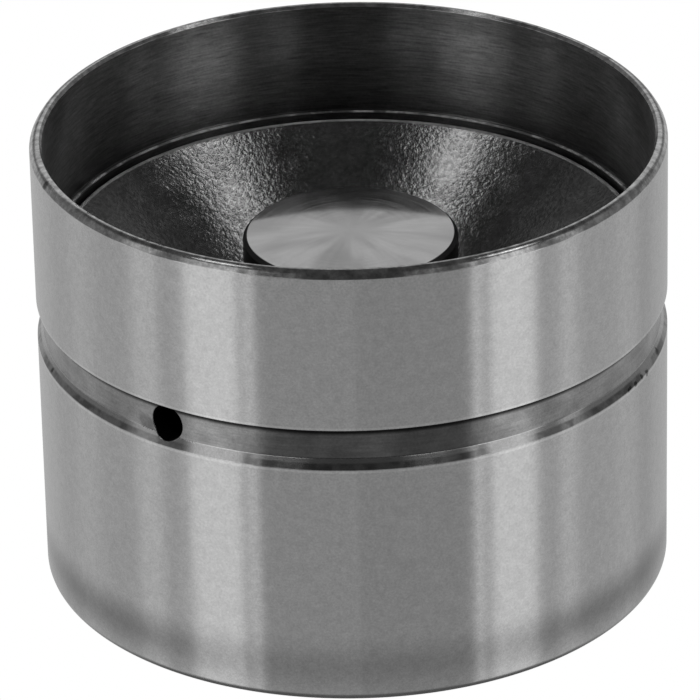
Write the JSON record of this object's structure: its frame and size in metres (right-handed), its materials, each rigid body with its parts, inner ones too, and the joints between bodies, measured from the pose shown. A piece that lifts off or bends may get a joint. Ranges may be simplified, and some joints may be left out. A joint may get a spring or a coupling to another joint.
{
  "type": "hydraulic bucket tappet",
  "caption": "Ground steel bucket with a crown and skirt, an oil groove with a feed hole, a dark funnel web and a sprung inner housing with a check valve.",
  "frame": {"origin": "centre of the cam face", "axes": "+Z along the tappet's axis, out of the open skirt; the cam face looks along -Z; the feed hole lies 234.1 degrees round from +X"},
  "size_m": [0.035, 0.035, 0.026],
  "materials": {
    "ground_steel": "ground outside, dark phosphate inside the skirt",
    "phosphated_steel": "dark grained phosphate",
    "turned_steel": "face-ground end, dark sides",
    "lapped_steel": "lapped",
    "ball_steel": "polished",
    "pressed_steel": "pressed sheet",
    "spring_steel": "drawn wire"
  },
  "bodies": {
    "bucket": {"bucket_shell": "ground_steel", "guide_web": "phosphated_steel", "plunger": "lapped_steel", "ball_retainer": "pressed_steel", "ball_spring": "spring_steel", "return_spring": "spring_steel"},
    "housing": {"inner_housing": "turned_steel", "retaining_ring": "spring_steel"},
    "ball": {"check_ball": "ball_steel"}
  },
  "joints": [
    {"name": "housing_slide", "type": "slide", "parent": "bucket", "child": "housing", "axis": [0, 0, 1], "range_m": [-0.0026, 0], "stiffness_N_per_m": 3600, "springref_m": 0.004, "deforming": ["return_spring"]},
    {"name": "ball_lift", "type": "slide", "parent": "bucket", "child": "ball", "axis": [0, 0, 1], "range_m": [0, 0.0003], "stiffness_N_per_m": 50, "springref_m": -0.001, "deforming": ["ball_spring"]}
  ]
}
